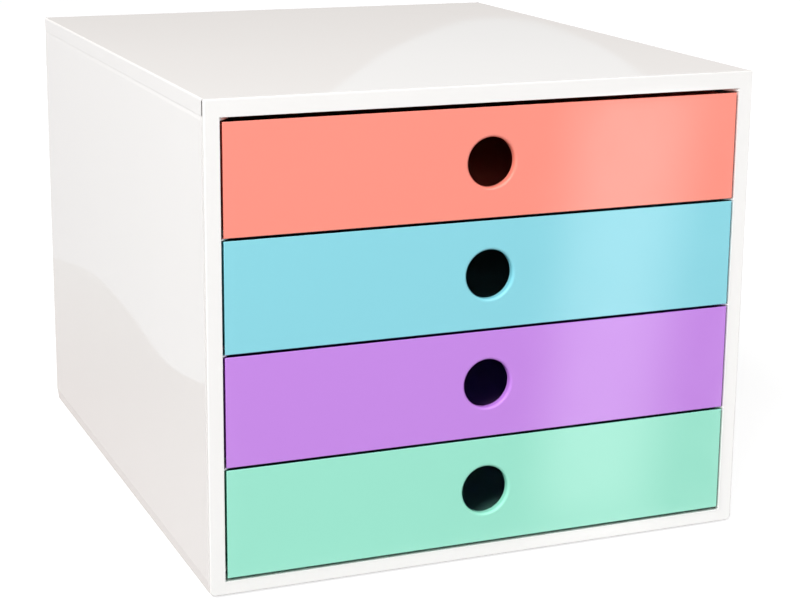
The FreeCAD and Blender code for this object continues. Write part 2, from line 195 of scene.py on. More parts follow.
def mirrorPiece(piece, name):
    twin = copyPiece(piece, name)
    twin.scale = (-1, 1, 1)
    bpy.ops.object.transform_apply(location=True, rotation=True, scale=True)
    bpy.ops.object.mode_set(mode="EDIT")
    bpy.ops.mesh.select_all(action="SELECT")
    bpy.ops.mesh.normals_make_consistent(inside=False)
    bpy.ops.object.mode_set(mode="OBJECT")
    return twin


def smoothFaces(piece):  # soft edges shade round, and the wide faces stay flat
    pickOnly(piece)
    bpy.ops.object.mode_set(mode="EDIT")
    bpy.ops.mesh.select_all(action="SELECT")
    bpy.ops.mesh.remove_doubles(threshold=weldBy)
    bpy.ops.mesh.dissolve_degenerate(threshold=weldBy)
    bpy.ops.mesh.normals_make_consistent(inside=False)
    bpy.ops.object.mode_set(mode="OBJECT")
    bpy.ops.object.shade_smooth_by_angle(angle=math.radians(smoothAngle))
    flatten = piece.modifiers.new("flatten", "WEIGHTED_NORMAL")
    flatten.keep_sharp = True
    flatten.weight = 100
    bpy.ops.object.modifier_apply(modifier=flatten.name)
    return piece


def splitAt(piece, place, normal):  # a ring of edges where the plane meets the piece
    pickOnly(piece)
    bpy.ops.object.mode_set(mode="EDIT")
    bpy.ops.mesh.select_all(action="SELECT")
    bpy.ops.mesh.bisect(plane_co=place, plane_no=normal)
    bpy.ops.object.mode_set(mode="OBJECT")


def same(a, b):
    return abs(a - b) < closeBy


def bothY(a, b, y):  # both ends of an edge are at this depth
    return same(a.y, y) and same(b.y, y)


def bothZ(a, b, z):  # both ends of an edge are at this height
    return same(a.z, z) and same(b.z, z)


def alongX(a, b):
    return same(a.y, b.y) and same(a.z, b.z)


def alongZ(a, b):
    return same(a.x, b.x) and same(a.y, b.y)


def evenly(start, end, count):  # the middles of equal shares
    return [start + (place + 0.5) * (end - start) / count for place in range(count)]


# where things are, taken from the fixed frame

frameLow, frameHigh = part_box("front_frame")
coverLow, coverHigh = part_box("top_cover")
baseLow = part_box("base_tray")[0]
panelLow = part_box("side_panel_right")[0]
caseHalf = frameHigh.x
frontY, rearY = frameLow.y, coverHigh.y
caseBottom, caseTop = frameLow.z, frameHigh.z
colourNames = ["coral", "blue", "violet", "mint"]
drawerBoxes = [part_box("drawer_" + colour) for colour in colourNames]


# drawers: front, finger hole and tray are one moulding

drawerForm = {
    "frontWall": 2.7 * mm,
    "frontRound": 0.4 * mm,
    "frontSteps": 4,
    "topDraft": 0.75 * mm,  # the front is this much smaller at its back
    "sideDraft": 0.6 * mm,
    "holeRadius": 12.5 * mm,
    "holeRound": 1.5 * mm,
    "holeSteps": 6,
    "holeSides": 96,
    "collarWall": 2.0 * mm,
    "collarDepth": 1.2 * mm,
    "collarRound": 0.5 * mm,
    "collarHoleRound": 0.3 * mm,
    "trayHalf": 136.4 * mm,
    "trayWall": 2.0 * mm,
    "trayFloor": 2.0 * mm,
    "trayRise": 2.8 * mm,  # from the front's lower edge to the tray's underside
    "taper": 1.2 * mm,
    "corner": 10.0 * mm,
    "cornerSteps": 10,
    "floorRound": 3.0 * mm,
    "floorSteps": 6,
    "floorBevel": 1.0 * mm,
    "rimDrop": 2.0 * mm,
    "rimBevel": 0.5 * mm,
    "roomRise": 1.5 * mm,  # the block that hollows the tray rises this far past the rim
    "railX": 131.5 * mm,  # inner side of what slides on a ledge
    "heelWidth": 1.8 * mm,
    "heelLength": 3.0 * mm,
    "heelFromRear": 30.0 * mm,
    "glideWidth": 1.0 * mm,
    "glideGap": 0.4 * mm,
    "sliderDrop": 1.0 * mm,
    "sliderRound": 0.2 * mm,
    "pinRadius": 3.0 * mm,  # marks that the ejector pins leave
    "pinDepth": 0.12 * mm,
    "pinSides": 32,
    "pinColumns": (-95 * mm, 0, 95 * mm),
    "pinRows": (-125 * mm, 0, 125 * mm),
    "gateRadius": 1.6 * mm,
    "gateSides": 24,
    "gateDepth": 0.5 * mm,
}


def trayBlock(name, half, front, rear, corner, bottom, top, taper):
    block = addBlock(name, (-half, front, bottom), (half, rear, top))
    shiftPoints(block, lambda p: same(p.z, bottom) and p.x > 0, (-taper, 0, 0))
    shiftPoints(block, lambda p: same(p.z, bottom) and p.x < 0, (taper, 0, 0))
    shiftPoints(block, lambda p: same(p.z, bottom) and p.y > 0, (0, -taper, 0))
    upright = lambda a, b: min(a.y, b.y) > rear - 2 * taper and not same(a.z, b.z)
    roundEdges(block, upright, corner, drawerForm["cornerSteps"])
    return block


def makeDrawer(name, low, high):
    form = drawerForm
    back = low.y + form["frontWall"]
    middle = (low.z + high.z) / 2
    floorZ = low.z + form["trayRise"]
    floorTop = floorZ + form["trayFloor"]
    rim = high.z - form["rimDrop"]
    sunk = form["frontWall"] / 2

    front = addBlock(name, low, (high.x, back, high.z))
    shiftPoints(front, lambda p: same(p.y, back) and p.z > middle, (0, 0, -form["topDraft"]))
    shiftPoints(front, lambda p: same(p.y, back) and p.x > 0, (-form["sideDraft"], 0, 0))
    shiftPoints(front, lambda p: same(p.y, back) and p.x < 0, (form["sideDraft"], 0, 0))
    roundEdges(front, lambda a, b: bothY(a, b, low.y), form["frontRound"], form["frontSteps"])

    half, wall = form["trayHalf"], form["trayWall"]
    tray = trayBlock("tray", half, low.y + sunk, high.y, form["corner"], floorZ, rim, form["taper"])
    underEdge = lambda a, b: bothZ(a, b, floorZ) and max(a.y, b.y) > back
    roundEdges(tray, underEdge, form["floorBevel"], softSteps)
    slope = form["taper"] / (rim - floorTop)
    above = form["roomRise"]
    room = trayBlock(
        "room",
        half - wall + above * slope,
        back,
        high.y - wall + above * slope,
        form["corner"] - wall,
        floorTop,
        rim + above,
        form["taper"] + above * slope,
    )
    roundEdges(room, lambda a, b: bothZ(a, b, floorTop), form["floorRound"], form["floorSteps"])
    cutAway(tray, room)
    rimEdge = lambda a, b: bothZ(a, b, rim) and max(a.y, b.y) > back + mm
    roundEdges(tray, rimEdge, form["rimBevel"], softSteps)
    growOn(front, tray)

    collarBack = back + form["collarDepth"]
    collar = addBar(
        "collar",
        form["holeRadius"] + form["collarWall"],
        (0, low.y + sunk, middle),
        (0, collarBack, middle),
        form["holeSides"],
    )
    roundEdges(collar, lambda a, b: bothY(a, b, collarBack), form["collarRound"], softSteps)
    growOn(front, collar)
    holeFront, holeBack = (0, low.y - past, middle), (0, collarBack + past, middle)
    cutAway(front, addBar("hole", form["holeRadius"], holeFront, holeBack, form["holeSides"]))
    inHole = lambda a: math.hypot(a.x, a.z - middle) < form["holeRadius"] + closeBy
    holeEdge = lambda y: lambda a, b: bothY(a, b, y) and inHole(a)
    roundEdges(front, holeEdge(low.y), form["holeRound"], form["holeSteps"])
    roundEdges(front, holeEdge(collarBack), form["collarHoleRound"], fineSteps)

    heelX = form["railX"]
    heelRear = high.y - form["heelFromRear"]
    glideX = heelX + form["heelWidth"] + form["glideGap"]
    slideZ = floorZ - form["sliderDrop"]
    slideTop = floorZ + form["trayFloor"] / 2
    sliders = []
    for side in (-1, 1):
        for x, width, y0, y1 in (
            (heelX, form["heelWidth"], heelRear - form["heelLength"], heelRear),
            (glideX, form["glideWidth"], back - sunk / 2, high.y - form["corner"]),
        ):
            x0, x1 = sorted((side * x, side * (x + width)))
            slider = addBlock("slider", (x0, y0, slideZ), (x1, y1, slideTop))
            roundEdges(slider, lambda a, b: bothZ(a, b, slideZ), form["sliderRound"], fineSteps)
            sliders.append(slider)
    growOn(front, gather(sliders))

    marks = []
    pinFoot = floorTop - form["pinDepth"]
    for x in form["pinColumns"]:
        for y in form["pinRows"]:
            if x or y:
                pinEnds = (x, y, pinFoot), (x, y, floorTop + mm)
                marks.append(addBar("pin", form["pinRadius"], *pinEnds, form["pinSides"]))
    gateEnds = (0, 0, floorZ - mm), (0, 0, floorZ + form["gateDepth"])
    marks.append(addBar("gate", form["gateRadius"], *gateEnds, form["gateSides"]))
    cutAway(front, gather(marks))
    smoothFaces(front)
    return front


firstLow, firstHigh = drawerBoxes[0]
drawers = {"coral": makeDrawer("drawerCoral", firstLow, firstHigh)}
for colour, (low, high) in list(zip(colourNames, drawerBoxes))[1:]:
    step = (0, 0, low.z - firstLow.z)
    drawers[colour] = copyPiece(drawers["coral"], "drawer" + colour.capitalize(), step)
for colour in colourNames:
    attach(drawers[colour], "drawer_" + colour)
    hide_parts("drawer_" + colour)
print("drawers made")


# front frame: a plate round the drawers, its return, the teeth between the fronts and the clips

frameForm = {
    "plate": 3.0 * mm,
    "rounding": 0.65 * mm,
    "roundSteps": 6,
    "draft": 0.28 * mm,  # the plate is this much narrower at its back
    "stile": 7.8 * mm,
    "topRail": 8.5 * mm,
    "bottomRail": 7.2 * mm,
    "returnWall": 1.8 * mm,
    "innerRound": 0.25 * mm,
    "sillDepth": 0.3 * mm,  # the sill drops behind its edge
    "sillDrop": 0.7 * mm,
    "topLip": 0.3 * mm,
    "bottomLip": 0.4 * mm,
    "footCorner": 2.5 * mm,  # the lower outer corners, seen from the front
    "footSteps": 8,
    "toothReach": 4.2 * mm,
    "toothSlant": 3.0 * mm,
    "toothGap": 0.2 * mm,
    "toothSetback": 0.3 * mm,
    "topToothReach": 6.0 * mm,
    "topToothSlant": 6.0 * mm,
    "topToothGap": 0.45 * mm,
    "toothRound": 0.12 * mm,
    "clipCount": 3,
    "clipWidth": 14.0 * mm,
    "clipWall": 1.4 * mm,
    "clipOuter": 143.1 * mm,
    "noseReach": 0.9 * mm,
    "noseLength": 2.4 * mm,
}
openHalf = caseHalf - frameForm["stile"]
openBottom = caseBottom + frameForm["bottomRail"]
openTop = caseTop - frameForm["topRail"]
clipHeights = evenly(openBottom, openTop, frameForm["clipCount"])


def makeTooth(side, low, high, reach, slant):
    face = frontY + frameForm["toothSetback"]
    tip, root = openHalf - reach, openHalf + frameForm["returnWall"] / 2
    tooth = addBlock("tooth", (tip, face, low), (root, frameHigh.y, high))
    splitAt(tooth, (openHalf, 0, 0), (1, 0, 0))
    shiftPoints(tooth, lambda p: same(p.x, tip) and same(p.y, face), (0, slant, 0))
    frontal = lambda a, b: max(a.y, b.y) < face + slant + closeBy
    inFront = lambda a, b: frontal(a, b) and min(a.x, b.x) < openHalf - closeBy
    roundEdges(tooth, inFront, frameForm["toothRound"], fineSteps)
    return tooth if side > 0 else mirrorTaken(tooth)


def mirrorTaken(piece):  # the mirror image takes the piece's place
    twin = mirrorPiece(piece, piece.name)
    bpy.data.objects.remove(piece)
    return twin


def makeClip(side, middle):
    form = frameForm
    low, high = middle - form["clipWidth"] / 2, middle + form["clipWidth"] / 2
    outer = form["clipOuter"]
    noseY = frameHigh.y - form["noseLength"]
    clipLow = (outer - form["clipWall"], frontY + form["plate"] / 2, low)
    clip = addBlock("clip", clipLow, (outer, frameHigh.y, high))
    splitAt(clip, (0, noseY, 0), (0, 1, 0))
    noseLow = (outer - form["clipWall"] / 2, noseY, low)
    nose = addBlock("nose", noseLow, (outer + form["noseReach"], frameHigh.y, high))
    noseTip = lambda p: p.x > outer and same(p.y, frameHigh.y)
    shiftPoints(nose, noseTip, (-form["noseReach"] - slack, 0, 0))
    growOn(clip, nose)
    return clip if side > 0 else mirrorTaken(clip)


def makeFrame():
    form = frameForm
    plate = addBlock("frontFrame", frameLow, (caseHalf, frontY + form["plate"], caseTop))
    backY = frontY + form["plate"]
    shiftPoints(plate, lambda p: same(p.y, backY) and p.x > 0, (-form["draft"], 0, 0))
    shiftPoints(plate, lambda p: same(p.y, backY) and p.x < 0, (form["draft"], 0, 0))
    lowCorner = lambda a, b: bothZ(a, b, caseBottom) and not same(a.y, b.y)
    roundEdges(plate, lowCorner, form["footCorner"], form["footSteps"])
    roundEdges(plate, lambda a, b: bothY(a, b, frontY), form["rounding"], form["roundSteps"])
    ring = addBlock(
        "ring",
        (-openHalf - form["returnWall"], frontY + form["plate"] / 2, openBottom - form["returnWall"]),
        (openHalf + form["returnWall"], frameHigh.y, openTop + form["returnWall"]),
    )
    growOn(plate, ring)
    low, high = openBottom - form["bottomLip"], openTop - form["topLip"]
    back = frameHigh.y + farPast
    cutAway(plate, addBlock("opening", (-openHalf, frontY - farPast, low), (openHalf, back, high)))
    sillLow = (-openHalf, frontY + form["sillDepth"], openBottom - form["sillDrop"])
    cutAway(plate, addBlock("sill", sillLow, (openHalf, back, openBottom + mm)))
    innerEdge = lambda a, b: (
        bothY(a, b, frontY)
        and max(abs(a.x), abs(b.x)) < openHalf + closeBy
        and max(a.z, b.z) < high + closeBy
        and min(a.z, b.z) > low - closeBy
    )
    roundEdges(plate, innerEdge, form["innerRound"], softSteps)
    teeth = []
    for side in (-1, 1):
        for upper, lower in zip(drawerBoxes[:-1], drawerBoxes[1:]):
            bottom, top = lower[1].z + form["toothGap"], upper[0].z - form["toothGap"]
            teeth.append(makeTooth(side, bottom, top, form["toothReach"], form["toothSlant"]))
        bottom, top = drawerBoxes[0][1].z + form["topToothGap"], openTop + form["returnWall"] / 2
        teeth.append(makeTooth(side, bottom, top, form["topToothReach"], form["topToothSlant"]))
        for middle in clipHeights:
            teeth.append(makeClip(side, middle))
    growOn(plate, gather(teeth))
    smoothFaces(plate)
    return plate


frontFrame = makeFrame()
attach(frontFrame, "casing")
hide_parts("front_frame")
print("front frame made")


# top cover, side panels, base and rear panel

shellForm = {
    "wall": 2.5 * mm,
    "rounding": 1.0 * mm,
    "roundSteps": 6,
    "skirtBevel": 0.06 * mm,
    "slantIn": 0.36 * mm,  # the panels' upper edges lean in and catch the light
    "slantDown": 2.2 * mm,
    "frontSlot": 0.7 * mm,  # between a side panel's upper front end and the frame
    "panelGap": 0.03 * mm,
    "outerReach": 1.2 * mm,  # a panel's edges within this of its outer side are softened
    "lipWall": 0.1 * mm,  # the skirt thins to a lip behind the frame, so its end shows as a dark slot
    "lipBack": 0.33 * mm,
    "lipRelief": 3.0 * mm,
    "tongueWall": 1.1 * mm,
    "tongueGap": 0.15 * mm,
    "tongueEndGap": 0.4 * mm,
    "ribWall": 1.6 * mm,
    "ribPitch": 58.0 * mm,
    "pocketDepth": 0.75 * mm,  # for the frame's clips
    "pocketGap": 0.25 * mm,
}
lipWall = shellForm["wall"] - shellForm["tongueWall"] - shellForm["tongueGap"]
panelInner = caseHalf - shellForm["wall"]
coverUnder = caseTop - shellForm["wall"]
innerReach = panelInner - shellForm["tongueGap"]
innerRear = rearY - shellForm["wall"] - shellForm["tongueGap"]
baseForm = {
    "height": 7.0 * mm,
    "taper": 0.8 * mm,
    "lowRound": 0.4 * mm,
    "under": caseBottom + 1.0 * mm,  # heights of the base plate
    "top": caseBottom + 3.5 * mm,
}
baseTop = caseBottom + baseForm["height"]
skinLow = baseTop + shellForm["panelGap"]
skinHigh = coverLow.z - shellForm["panelGap"]
tongueHeights = (
    (skinHigh - shellForm["wall"], coverUnder - shellForm["tongueEndGap"]),
    (baseForm["top"] + shellForm["tongueEndGap"], skinLow + shellForm["wall"]),
)


def relieveEnd(shell, side):  # cuts the skirt's front end back and thins it from inside
    form = shellForm
    endY = coverLow.y + form["lipBack"]
    lipX = caseHalf - form["lipWall"]
    innerX = caseHalf - lipWall - slack
    for near, far, step in ((lipX - slack, caseHalf + mm, 0), (innerX, lipX, form["lipRelief"])):
        x0, x1 = sorted((side * near, side * far))
        cutLow = (x0, coverLow.y - mm, coverLow.z - mm)
        cut = addBlock("cut", cutLow, (x1, endY, caseTop - form["rounding"]))
        if step:
            shiftPoints(cut, lambda p: same(abs(p.x), near) and same(p.y, endY), (0, step, 0))
        cutAway(shell, cut)


def makeCover():
    form = shellForm
    shell = addBlock("topCover", coverLow, coverHigh)
    topEdge = lambda a, b: bothZ(a, b, caseTop) and not bothY(a, b, coverLow.y)
    rearCorner = lambda a, b: alongZ(a, b) and same(a.y, rearY)
    outside = lambda a, b: topEdge(a, b) or rearCorner(a, b)
    roundEdges(shell, outside, form["rounding"], form["roundSteps"])
    seam = lambda a, b: bothZ(a, b, coverLow.z) and not bothY(a, b, coverLow.y)
    roundEdges(shell, seam, form["skirtBevel"], fineSteps)
    hollow = addBlock(
        "hollow",
        (-caseHalf + lipWall, coverLow.y - farPast, coverLow.z - farPast),
        (caseHalf - lipWall, rearY - lipWall, coverUnder),
    )
    cutAway(shell, hollow)
    ribs = None
    ribBottom = openTop + frameForm["returnWall"]
    half = form["ribWall"] / 2
    ribTop = coverUnder + half
    for x in evenly(-innerReach, innerReach, int(2 * innerReach / form["ribPitch"])):
        rib = addBlock("rib", (x - half, coverLow.y, ribBottom), (x + half, innerRear, ribTop))
        ribs = growOn(ribs, rib) if ribs else rib
    depth = innerRear - frameHigh.y
    for y in evenly(frameHigh.y, innerRear, int(depth / form["ribPitch"])):
        rib = addBlock("rib", (-innerReach, y - half, ribBottom), (innerReach, y + half, ribTop))
        ribs = growOn(ribs, rib)
    growOn(shell, ribs)
    for side in (-1, 1):
        relieveEnd(shell, side)
    smoothFaces(shell)
    return shell


footForm = {
    "inset": 24.0 * mm,
    "padRadius": 8.0 * mm,
    "padRound": 0.5 * mm,
    "padSteps": 4,
    "padSides": 64,
    "stemRadius": 2.0 * mm,
    "stemRound": 0.6 * mm,
    "stemSides": 32,
    "stemGap": 0.1 * mm,
    "stemProud": 1.2 * mm,
    "grooveDepth": 0.3 * mm,
    "grooveRadii": (6.4 * mm, 4.9 * mm, 3.2 * mm, 1.9 * mm),
    "grooveSides": 48,
}
footX = caseHalf - footForm["inset"]
footY = rearY - footForm["inset"]
footNames = {
    "front_left": (-footX, -footY),
    "front_right": (footX, -footY),
    "rear_left": (-footX, footY),
    "rear_right": (footX, footY),
}


def makeBase():
    form = shellForm
    taper = baseForm["taper"]
    tray = addBlock("baseTray", baseLow, (caseHalf, rearY, baseTop))
    shiftPoints(tray, lambda p: same(p.z, caseBottom) and p.x > 0, (-taper, 0, 0))
    shiftPoints(tray, lambda p: same(p.z, caseBottom) and p.x < 0, (taper, 0, 0))
    shiftPoints(tray, lambda p: same(p.z, caseBottom) and p.y > 0, (0, -taper, 0))
    rearUpright = lambda a, b: min(a.y, b.y) > rearY - 2 * taper and not same(a.z, b.z)
    roundEdges(tray, rearUpright, form["rounding"], form["roundSteps"])
    notFront = lambda a, b: max(a.y, b.y) > baseLow.y + mm
    lowEdge = lambda a, b: bothZ(a, b, caseBottom) and notFront(a, b)
    roundEdges(tray, lowEdge, baseForm["lowRound"], softSteps)
    above = addBlock(
        "above",
        (-caseHalf + lipWall, baseLow.y - farPast, baseForm["top"]),
        (caseHalf - lipWall, rearY - lipWall, baseTop + farPast),
    )
    cutAway(tray, above)
    narrow = caseHalf - taper - form["wall"]
    below = addBlock(
        "below",
        (-narrow, baseLow.y + form["wall"], caseBottom - farPast),
        (narrow, rearY - taper - form["wall"], baseForm["under"]),
    )
    cutAway(tray, below)
    ribTop = openBottom - frameForm["returnWall"]
    half = form["ribWall"] / 2
    ribs = []
    for x in evenly(-innerReach, innerReach, int(2 * innerReach / form["ribPitch"])):
        ribLow = (x - half, baseLow.y, baseForm["top"] - half)
        ribs.append(addBlock("rib", ribLow, (x + half, innerRear, ribTop)))
    growOn(tray, gather(ribs))
    bores = []
    radius, boreTop = footForm["stemRadius"] + footForm["stemGap"], baseForm["top"] + past
    for x, y in footNames.values():
        bores.append(addBar("bore", radius, (x, y, 0), (x, y, boreTop), footForm["stemSides"]))
    cutAway(tray, gather(bores))
    smoothFaces(tray)
    return tray


def makeFoot(name, x, y):
    form = footForm
    pad = addBar(name, form["padRadius"], (x, y, 0), (x, y, baseForm["under"]), form["padSides"])
    roundEdges(pad, lambda a, b: bothZ(a, b, 0), form["padRound"], form["padSteps"])
    stemTop = baseForm["top"] + form["stemProud"]
    stem = addBar("stem", form["stemRadius"], (x, y, mm), (x, y, stemTop), form["stemSides"])
    roundEdges(stem, lambda a, b: bothZ(a, b, stemTop), form["stemRound"], softSteps)
    growOn(pad, stem)
    radii, sides = form["grooveRadii"], form["grooveSides"]
    for outer, inner in zip(radii[::2], radii[1::2]):
        groove = addBar("groove", outer, (x, y, -mm), (x, y, form["grooveDepth"]), sides)
        cutAway(groove, addBar("core", inner, (x, y, -past), (x, y, mm), sides))
        cutAway(pad, groove)
    smoothFaces(pad)
    return pad


keyForm = {  # keys on a side panel that hold the runners
    "count": 3,
    "length": 9.0 * mm,
    "height": 3.2 * mm,
    "above": 6.4 * mm,
    "tipX": 138.6 * mm,
    "fromEnd": 30.0 * mm,
}


def slantTop(piece, high, test, step):
    splitAt(piece, (0, 0, high - shellForm["slantDown"]), (0, 0, 1))
    shiftPoints(piece, lambda p: same(p.z, high) and test(p), step)


def creaseSlant(piece, high, outside):  # keeps the slanted edge flat in its shading
    level = high - shellForm["slantDown"]
    selectEdges(piece, lambda a, b: bothZ(a, b, level) and outside(a) and outside(b))
    bpy.ops.mesh.mark_sharp()
    bpy.ops.object.mode_set(mode="OBJECT")


def makeSidePanel():
    form = shellForm
    low, high, front = skinLow, skinHigh, panelLow.y
    skin = addBlock("sidePanelRight", (panelInner, front, low), (caseHalf, rearY, high))
    shiftPoints(skin, lambda p: same(p.y, front) and same(p.z, high), (0, form["frontSlot"], 0))
    slantTop(skin, high, lambda p: same(p.x, caseHalf), (-form["slantIn"], 0, 0))
    outer = lambda a, b: min(a.x, b.x) > caseHalf - form["outerReach"]
    upright = lambda a, b: bothY(a, b, rearY) and outer(a, b) and not same(a.z, b.z)
    roundEdges(skin, upright, form["rounding"], form["roundSteps"])
    seam = lambda a, b: bothZ(a, b, low) and outer(a, b) and not bothY(a, b, front)
    roundEdges(skin, seam, form["skirtBevel"], fineSteps)
    tongues = []
    tongueX = panelInner + form["tongueWall"]
    for bottom, top in tongueHeights:
        tongueHigh = (tongueX, rearY - form["wall"], top)
        tongues.append(addBlock("tongue", (panelInner, front, bottom), tongueHigh))
    runnerLow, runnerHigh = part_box("runner_coral_right")
    first, last = runnerLow.y + keyForm["fromEnd"], runnerHigh.y - keyForm["fromEnd"]
    long, tall = keyForm["length"] / 2, keyForm["height"] / 2
    for colour in colourNames:
        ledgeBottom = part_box("runner_" + colour + "_right")[0].z
        middle = ledgeBottom + keyForm["above"]
        for place in range(keyForm["count"]):
            y = first + place * (last - first) / (keyForm["count"] - 1)
            keyLow = (keyForm["tipX"], y - long, middle - tall)
            tongues.append(addBlock("key", keyLow, (tongueX, y + long, middle + tall)))
    growOn(skin, gather(tongues))
    pockets = []
    gap, half = form["pocketGap"], frameForm["clipWidth"] / 2
    for middle in clipHeights:
        pocketFront = frameHigh.y - frameForm["noseLength"] - gap
        pocketLow = (panelInner - past, pocketFront, middle - half - gap)
        pocketHigh = (panelInner + form["pocketDepth"], frameHigh.y + gap, middle + half + gap)
        pockets.append(addBlock("pocket", pocketLow, pocketHigh))
    cutAway(skin, gather(pockets))
    creaseSlant(skin, high, lambda p: same(p.x, caseHalf))
    smoothFaces(skin)
    return skin


rearForm = {  # flanges beside the side panels, and buffers that the drawers close on
    "flangeWall": 1.5 * mm,
    "flangeDepth": 8.0 * mm,
    "bufferX": 60.0 * mm,
    "bufferHalf": 1.5 * mm,
    "bufferDepth": 5.0 * mm,
    "bufferRise": 10.0 * mm,
    "bufferRound": 0.4 * mm,
}


def makeRearPanel():
    form = shellForm
    low, high, inner = skinLow, skinHigh, rearY - form["wall"]
    skin = addBlock("rearPanel", (-innerReach, inner, low), (innerReach, rearY, high))
    slantTop(skin, high, lambda p: same(p.y, rearY), (0, -form["slantIn"], 0))
    seam = lambda a, b: bothY(a, b, rearY) and alongX(a, b) and same(a.z, low)
    roundEdges(skin, seam, form["skirtBevel"], fineSteps)
    tongueHalf = innerReach - lipWall
    extras = []
    for bottom, top in tongueHeights:
        tongueHigh = (tongueHalf, inner + form["tongueWall"], top)
        extras.append(addBlock("tongue", (-tongueHalf, inner, bottom), tongueHigh))
    bufferY = inner - rearForm["bufferDepth"]
    half, rise = rearForm["bufferHalf"], rearForm["bufferRise"]
    for side in (-1, 1):
        x0, x1 = sorted((side * (innerReach - rearForm["flangeWall"]), side * innerReach))
        flangeLow = (x0, inner - rearForm["flangeDepth"], low)
        extras.append(addBlock("flange", flangeLow, (x1, inner + mm, high)))
        x = side * rearForm["bufferX"]
        for drawerLow, drawerHigh in drawerBoxes:
            middle = (drawerLow.z + drawerHigh.z) / 2
            bufferHigh = (x + half, inner + mm, middle + rise)
            buffer = addBlock("buffer", (x - half, bufferY, middle - rise), bufferHigh)
            roundEdges(buffer, lambda a, b: bothY(a, b, bufferY), rearForm["bufferRound"], fineSteps)
            extras.append(buffer)
    growOn(skin, gather(extras))
    creaseSlant(skin, high, lambda p: same(p.y, rearY))
    smoothFaces(skin)
    return skin


def settle(piece, body, node):
    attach(piece, body)
    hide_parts(node)
    return piece


topCover = settle(makeCover(), "casing", "top_cover")
print("top cover made")
baseTray = settle(makeBase(), "casing", "base_tray")
print("base made")
sidePanelRight = makeSidePanel()
sidePanelLeft = smoothFaces(mirrorPiece(sidePanelRight, "sidePanelLeft"))
settle(sidePanelRight, "casing", "side_panel_right")
settle(sidePanelLeft, "casing", "side_panel_left")
print("side panels made")
rearPanel = settle(makeRearPanel(), "casing", "rear_panel")
print("rear panel made")
feet = {}
for place, (x, y) in footNames.items():
    name = "foot" + "".join(word.capitalize() for word in place.split("_"))
    feet[place] = settle(makeFoot(name, x, y), "casing", "foot_" + place)
print("feet made")


# materials


def addNode(tree, kind, **values):
    node = tree.nodes.new(kind)
    for key, value in values.items():
        setattr(node, key, value)
    return node


def addNoise(tree, place, scale, detail):
    noise = addNode(tree, "ShaderNodeTexNoise")
    noise.inputs["Scale"].default_value = scale
    noise.inputs["Detail"].default_value = detail
    tree.links.new(place, noise.inputs["Vector"])
    return noise.outputs["Fac"]


def addBump(tree, height, distance):
    bump = addNode(tree, "ShaderNodeBump")
    bump.inputs["Distance"].default_value = distance
    bump.inputs["Strength"].default_value = 1
    tree.links.new(height, bump.inputs["Height"])
    return bump


def makePlastic(name, look):
    material = bpy.data.materials.new(name)
    material.use_nodes = True
    tree = material.node_tree
    shader = tree.nodes["Principled BSDF"]
    shader.inputs["IOR"].default_value = look["ior"]
    link = tree.links.new

    place = addNode(tree, "ShaderNodeTexCoord")
    centre = addNode(tree, "ShaderNodeMapping")
    centre.inputs["Location"].default_value = look["centre"]
    link(place.outputs["Object"], centre.inputs["Vector"])
    spot = centre.outputs["Vector"]

    # slow change of tone where the melt cooled
    flow = addNoise(tree, spot, look["flowScale"], look["flowDetail"])
    tone = addNode(tree, "ShaderNodeMix", data_type="RGBA")
    tone.inputs[6].default_value = (*look["colour"], 1)
    tone.inputs[7].default_value = (*look["secondColour"], 1)
    link(flow, tone.inputs["Factor"])
    link(tone.outputs[2], shader.inputs["Base Color"])

    # faint handling haze in the gloss
    haze = addNoise(tree, spot, look["hazeScale"], look["hazeDetail"])
    gloss = addNode(tree, "ShaderNodeMapRange")
    gloss.inputs["From Min"].default_value = look["hazeFrom"]
    gloss.inputs["From Max"].default_value = look["hazeTo"]
    gloss.inputs["To Min"].default_value = look["roughness"]
    gloss.inputs["To Max"].default_value = look["roughness"] + look["haze"]
    link(haze, gloss.inputs["Value"])
    link(gloss.outputs["Result"], shader.inputs["Roughness"])

    # wide shallow waves of a moulded panel, and the fine skin of the polished mould
    sink = addNoise(tree, spot, look["waveScale"], look["waveDetail"])
    wave = addBump(tree, sink, look["waveHeight"])
    peel = addNoise(tree, spot, look["peelScale"], look["peelDetail"])
    skin = addBump(tree, peel, look["peelHeight"])
    link(wave.outputs["Normal"], skin.inputs["Normal"])
    link(skin.outputs["Normal"], shader.inputs["Normal"])
    return material


plasticLook = {
    "ior": 1.55,
    "centre": (0, 0, 0),
    "flowScale": 9,
    "flowDetail": 2,
    "roughness": 0.035,
    "haze": 0.035,  # what the haze adds to the roughness
    "hazeScale": 60,
    "hazeDetail": 5,
    "hazeFrom": 0.35,
    "hazeTo": 0.7,
    "waveScale": 7,
    "waveDetail": 0,
    "waveHeight": 0.0001,
    "peelScale": 900,
    "peelDetail": 3,
    "peelHeight": 0.0000008,
}


def shade(colour, share):
    return tuple(min(1.0, part * share) for part in colour)


colourLooks = {
    "coral": (0.985, 0.275, 0.205),
    "blue": (0.238, 0.676, 0.775),
    "violet": (0.560, 0.229, 0.800),
    "mint": (0.314, 0.800, 0.620),
}
casingColour = (0.900, 0.889, 0.873)
casingLook = dict(
    plasticLook,
    colour=casingColour,
    secondColour=shade(casingColour, 0.985),
    roughness=0.018,
    haze=0.014,
    peelHeight=0.00000025,
)
casingPlastic = makePlastic("casingPlastic", casingLook)
plastics = {}
for colour, tint in colourLooks.items():
    look = dict(plasticLook, colour=tint, secondColour=shade(tint, 0.97))
    plastics[colour] = makePlastic(colour + "Plastic", look)
rubberLook = dict(
    plasticLook,
    colour=(0.42, 0.42, 0.41),
    secondColour=(0.38, 0.38, 0.37),
    roughness=0.6,
    haze=0.15,
)
rubber = makePlastic("footRubber", rubberLook)


def dress(piece, material):
    piece.data.materials.clear()
    piece.data.materials.append(material)


